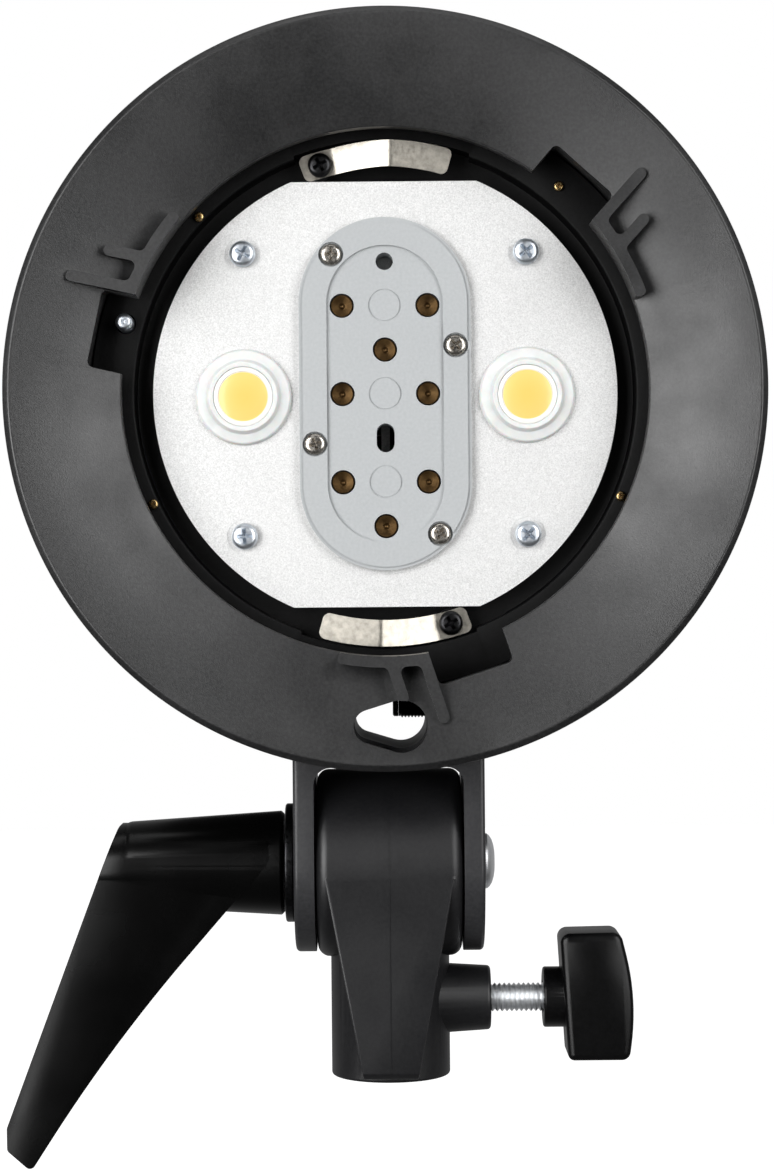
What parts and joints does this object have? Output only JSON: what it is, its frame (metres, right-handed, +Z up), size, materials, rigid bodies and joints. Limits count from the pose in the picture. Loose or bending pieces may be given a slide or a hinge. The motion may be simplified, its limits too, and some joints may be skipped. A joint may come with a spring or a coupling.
{
  "type": "monolight strobe",
  "caption": "Self-contained studio flash head with a bayonet modifier mount, LED modelling lamps and a tilting stand bracket.",
  "frame": {"origin": "centre of the mouth of the stand socket, at the bottom of the stand receiver", "axes": "+Z up along the stand, -Y the way the lamp faces, +X to the right seen from in front of the lamp"},
  "size_m": [0.1544, 0.1549, 0.2333],
  "materials": {
    "cast_black": "fine satin black paint on die-cast alloy",
    "moulded_black": "fine-grained black moulding",
    "chamber_black": "deep matt black",
    "plate_alloy": "bead-blasted, clear anodised",
    "socket_grey": "smooth light grey moulding",
    "brass": "turned",
    "zinc_steel": "bright zinc plate",
    "spring_nickel": "nickel-plated strip, warm white",
    "black_steel": "blackened",
    "silicone": "translucent white",
    "phosphor": "yellow phosphor gel in a white rim",
    "display_glass": "dark window over a backlit display",
    "key_grey": "satin grey",
    "key_red": "satin red",
    "board_green": "solder mask",
    "sleeve_blue": "shrink sleeve"
  },
  "bodies": {
    "base": {"stand_receiver": "cast_black"},
    "head": {"yoke": "cast_black", "tilt_bolt": "zinc_steel", "tilt_washer": "black_steel", "mount_ring": "moulded_black", "mount_chamber": "chamber_black", "front_plate": "plate_alloy", "lamp_socket": "socket_grey", "contact_1": "brass", "contact_2": "brass", "contact_3": "brass", "contact_4": "brass", "contact_5": "brass", "contact_6": "brass", "contact_7": "brass", "contact_8": "brass", "plate_screw_1": "zinc_steel", "plate_screw_2": "zinc_steel", "plate_screw_3": "zinc_steel", "plate_screw_4": "zinc_steel", "socket_screw_1": "zinc_steel", "socket_screw_2": "zinc_steel", "socket_screw_3": "zinc_steel", "socket_screw_4": "zinc_steel", "chamber_screw_1": "brass", "chamber_screw_2": "brass", "chamber_screw_3": "brass", "chamber_screw_4": "brass", "spring_screw_top": "black_steel", "spring_screw_bottom": "black_steel", "lamp_seal_left": "silicone", "lamp_seal_right": "silicone", "lamp_chip_left": "phosphor", "lamp_chip_right": "phosphor", "housing_shell": "moulded_black", "rear_panel": "moulded_black", "display_window": "display_glass", "heat_sink": "plate_alloy", "capacitor": "sleeve_blue", "main_board": "board_green", "fan_frame": "moulded_black"},
    "tilt_clamp": {"tilt_lever": "moulded_black"},
    "clamp_shoe": {"clamp_pad": "brass"},
    "clamp_spindle": {"clamp_screw": "zinc_steel", "clamp_knob": "moulded_black"},
    "umbrella_shoe": {"umbrella_tip": "black_steel"},
    "umbrella_spindle": {"umbrella_screw": "black_steel", "umbrella_knob": "moulded_black"},
    "spring_top": {"leaf_spring_top": "spring_nickel"},
    "spring_bottom": {"leaf_spring_bottom": "spring_nickel"},
    "mount_lock": {"lock_pin": "zinc_steel", "lock_slider": "moulded_black"},
    "battery": {"battery_pack": "moulded_black"},
    "battery_catch": {"battery_latch": "key_red"},
    "dial": {"control_dial": "moulded_black"},
    "power_key": {"power_button": "key_red"},
    "mode_key": {"mode_button": "key_grey"},
    "test_key": {"test_button": "key_grey"},
    "fan": {"fan_rotor": "moulded_black"}
  },
  "joints": [
    {"name": "head_tilt", "type": "hinge", "parent": "base", "child": "head", "pos_m": [0, 0, 0.044], "axis": [1, 0, 0], "range_deg": [-60, 90]},
    {"name": "tilt_lever_turn", "type": "hinge", "parent": "head", "child": "tilt_clamp", "pos_m": [-0.03, 0, 0.044], "axis": [1, 0, 0], "range_deg": [-100, 100]},
    {"name": "clamp_travel", "type": "slide", "parent": "base", "child": "clamp_shoe", "axis": [1, 0, 0], "range_m": [-0.004, 0.006]},
    {"name": "clamp_turn", "type": "hinge", "parent": "clamp_shoe", "child": "clamp_spindle", "pos_m": [0.03, 0, 0.0156], "axis": [1, 0, 0], "range_deg": [-1470, 2190]},
    {"name": "umbrella_travel", "type": "slide", "parent": "head", "child": "umbrella_shoe", "axis": [1, 0, 0], "range_m": [-0.0022, 0.007]},
    {"name": "umbrella_turn", "type": "hinge", "parent": "umbrella_shoe", "child": "umbrella_spindle", "pos_m": [0.02, 0.008, 0.076], "axis": [1, 0, 0], "range_deg": [-1160, 3630]},
    {"name": "spring_top_flex", "type": "hinge", "parent": "head", "child": "spring_top", "pos_m": [-0.0128, -0.0184, 0.18616], "axis": [-0.2689, 0, 0.9632], "range_deg": [0, 4], "stiffness_Nm_per_rad": 2, "springref_deg": -1.15},
    {"name": "spring_bottom_flex", "type": "hinge", "parent": "head", "child": "spring_bottom", "pos_m": [0.0128, -0.0184, 0.09384], "axis": [0.2689, 0, -0.9632], "range_deg": [0, 4], "stiffness_Nm_per_rad": 2, "springref_deg": -1.15},
    {"name": "lock_pull", "type": "slide", "parent": "head", "child": "mount_lock", "axis": [0, 1, 0], "range_m": [0, 0.005], "stiffness_N_per_m": 300, "springref_m": -0.003},
    {"name": "battery_slide", "type": "slide", "parent": "head", "child": "battery", "axis": [0, 1, 0], "range_m": [0, 0.088]},
    {"name": "battery_catch_lift", "type": "slide", "parent": "head", "child": "battery_catch", "axis": [0, 0, 1], "range_m": [0, 0.0015], "stiffness_N_per_m": 400, "springref_m": -0.001},
    {"name": "dial_turn", "type": "hinge", "parent": "head", "child": "dial", "pos_m": [0.033, 0.112, 0.169], "axis": [0, 1, 0], "continuous": true},
    {"name": "power_key_press", "type": "slide", "parent": "head", "child": "power_key", "axis": [0, -1, 0], "range_m": [0, 0.001], "stiffness_N_per_m": 600, "springref_m": -0.0005},
    {"name": "mode_key_press", "type": "slide", "parent": "head", "child": "mode_key", "axis": [0, -1, 0], "range_m": [0, 0.001], "stiffness_N_per_m": 600, "springref_m": -0.0005},
    {"name": "test_key_press", "type": "slide", "parent": "head", "child": "test_key", "axis": [0, -1, 0], "range_m": [0, 0.001], "stiffness_N_per_m": 600, "springref_m": -0.0005},
    {"name": "fan_spin", "type": "hinge", "parent": "head", "child": "fan", "pos_m": [0.047, 0.05, 0.1555], "axis": [1, 0, 0], "continuous": true}
  ],
  "couplings": [
    {"joint": "clamp_turn", "follows": "clamp_travel", "rad_per_m": 6283.2},
    {"joint": "umbrella_turn", "follows": "umbrella_travel", "rad_per_m": 8976}
  ]
}
